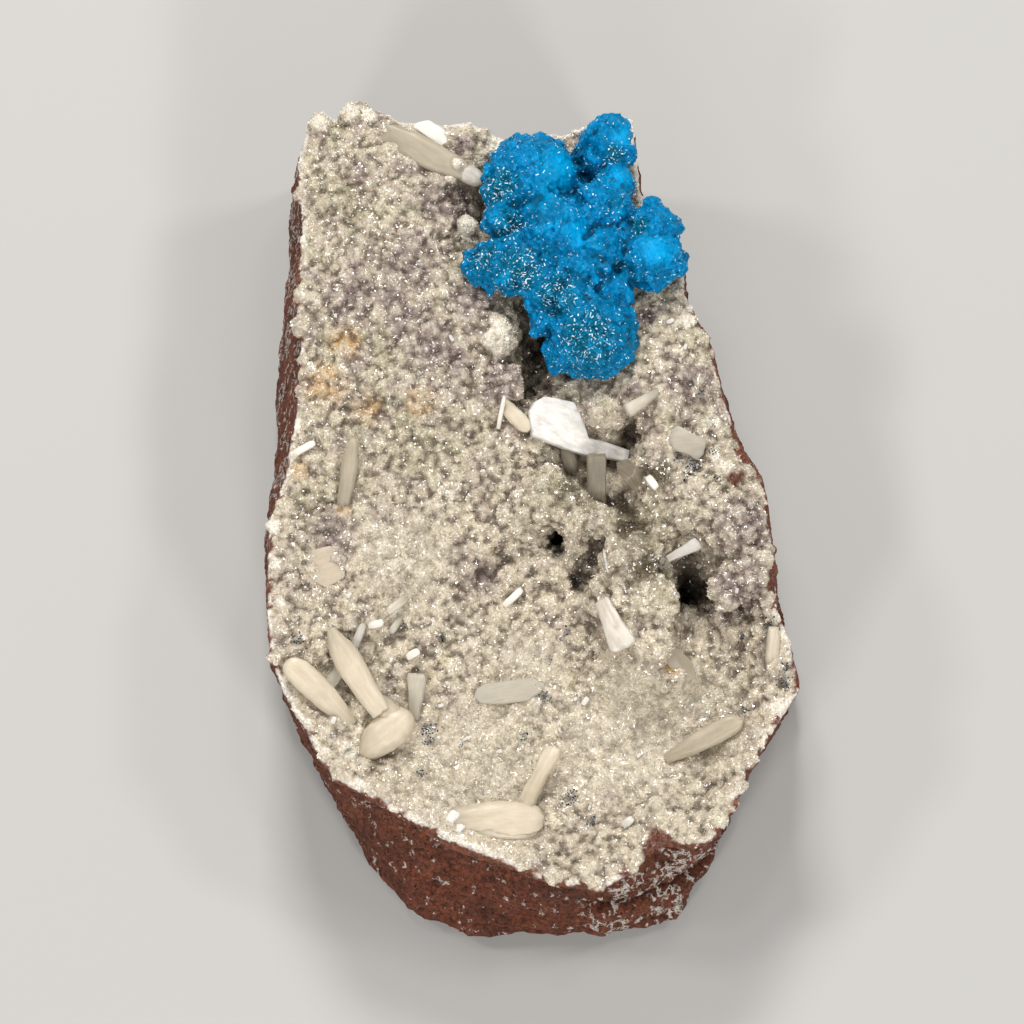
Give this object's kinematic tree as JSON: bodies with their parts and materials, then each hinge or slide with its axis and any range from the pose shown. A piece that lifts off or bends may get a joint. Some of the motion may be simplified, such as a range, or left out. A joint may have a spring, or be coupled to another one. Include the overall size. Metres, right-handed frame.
{
  "type": "mineral specimen",
  "caption": "Cavansite mineral specimen: a chunk of basalt with a sparkling crystal crust, a cluster of blue cavansite balls and pale stilbite blades.",
  "frame": {"origin": "on the flat back that the specimen rests on, under the middle of the rock", "axes": "+Z up, away from the back and out of the crystals; +Y along the rock's long side, towards the end with the blue cluster; +X to the right when +Y points up"},
  "size_m": [0.0598, 0.0906, 0.0344],
  "materials": {
    "basalt": "rough, broken, with small pores",
    "druse": "sparkling, covered in tiny crystals",
    "cavansite": "glossy blades over a soft glow",
    "stilbite": "translucent, satin with fine striations",
    "pearly_stilbite": "pearly"
  },
  "bodies": {
    "root": {"basalt_matrix": "basalt", "druse_crust": "druse", "cavansite_cluster": "cavansite", "stilbite_upper_blade": "stilbite", "stilbite_left_post": "stilbite", "stilbite_lower_left_blade": "stilbite", "stilbite_lower_left_pair": "stilbite", "stilbite_lower_left_needle": "stilbite", "stilbite_lower_spray": "stilbite", "stilbite_bowl_plate": "stilbite", "stilbite_front_sheaf": "stilbite", "stilbite_right_bar": "stilbite", "stilbite_striped_plate": "stilbite", "stilbite_buttress_rod": "stilbite", "stilbite_pearl_blade": "pearly_stilbite", "stilbite_hollow_post": "stilbite", "stilbite_hollow_stub": "stilbite", "stilbite_left_wing": "stilbite", "stilbite_right_blade": "stilbite", "stilbite_glassy_block": "stilbite", "stilbite_glassy_stub": "stilbite", "stilbite_rim_blade": "stilbite", "stilbite_cave_wedge": "stilbite", "stilbite_left_plate": "stilbite", "stilbite_left_chip": "stilbite", "stilbite_buttress_chip": "stilbite", "stilbite_bowl_chip": "stilbite", "stilbite_front_chip": "stilbite", "stilbite_field_rod": "stilbite", "stilbite_field_stub": "stilbite"}
  },
  "joints": []
}
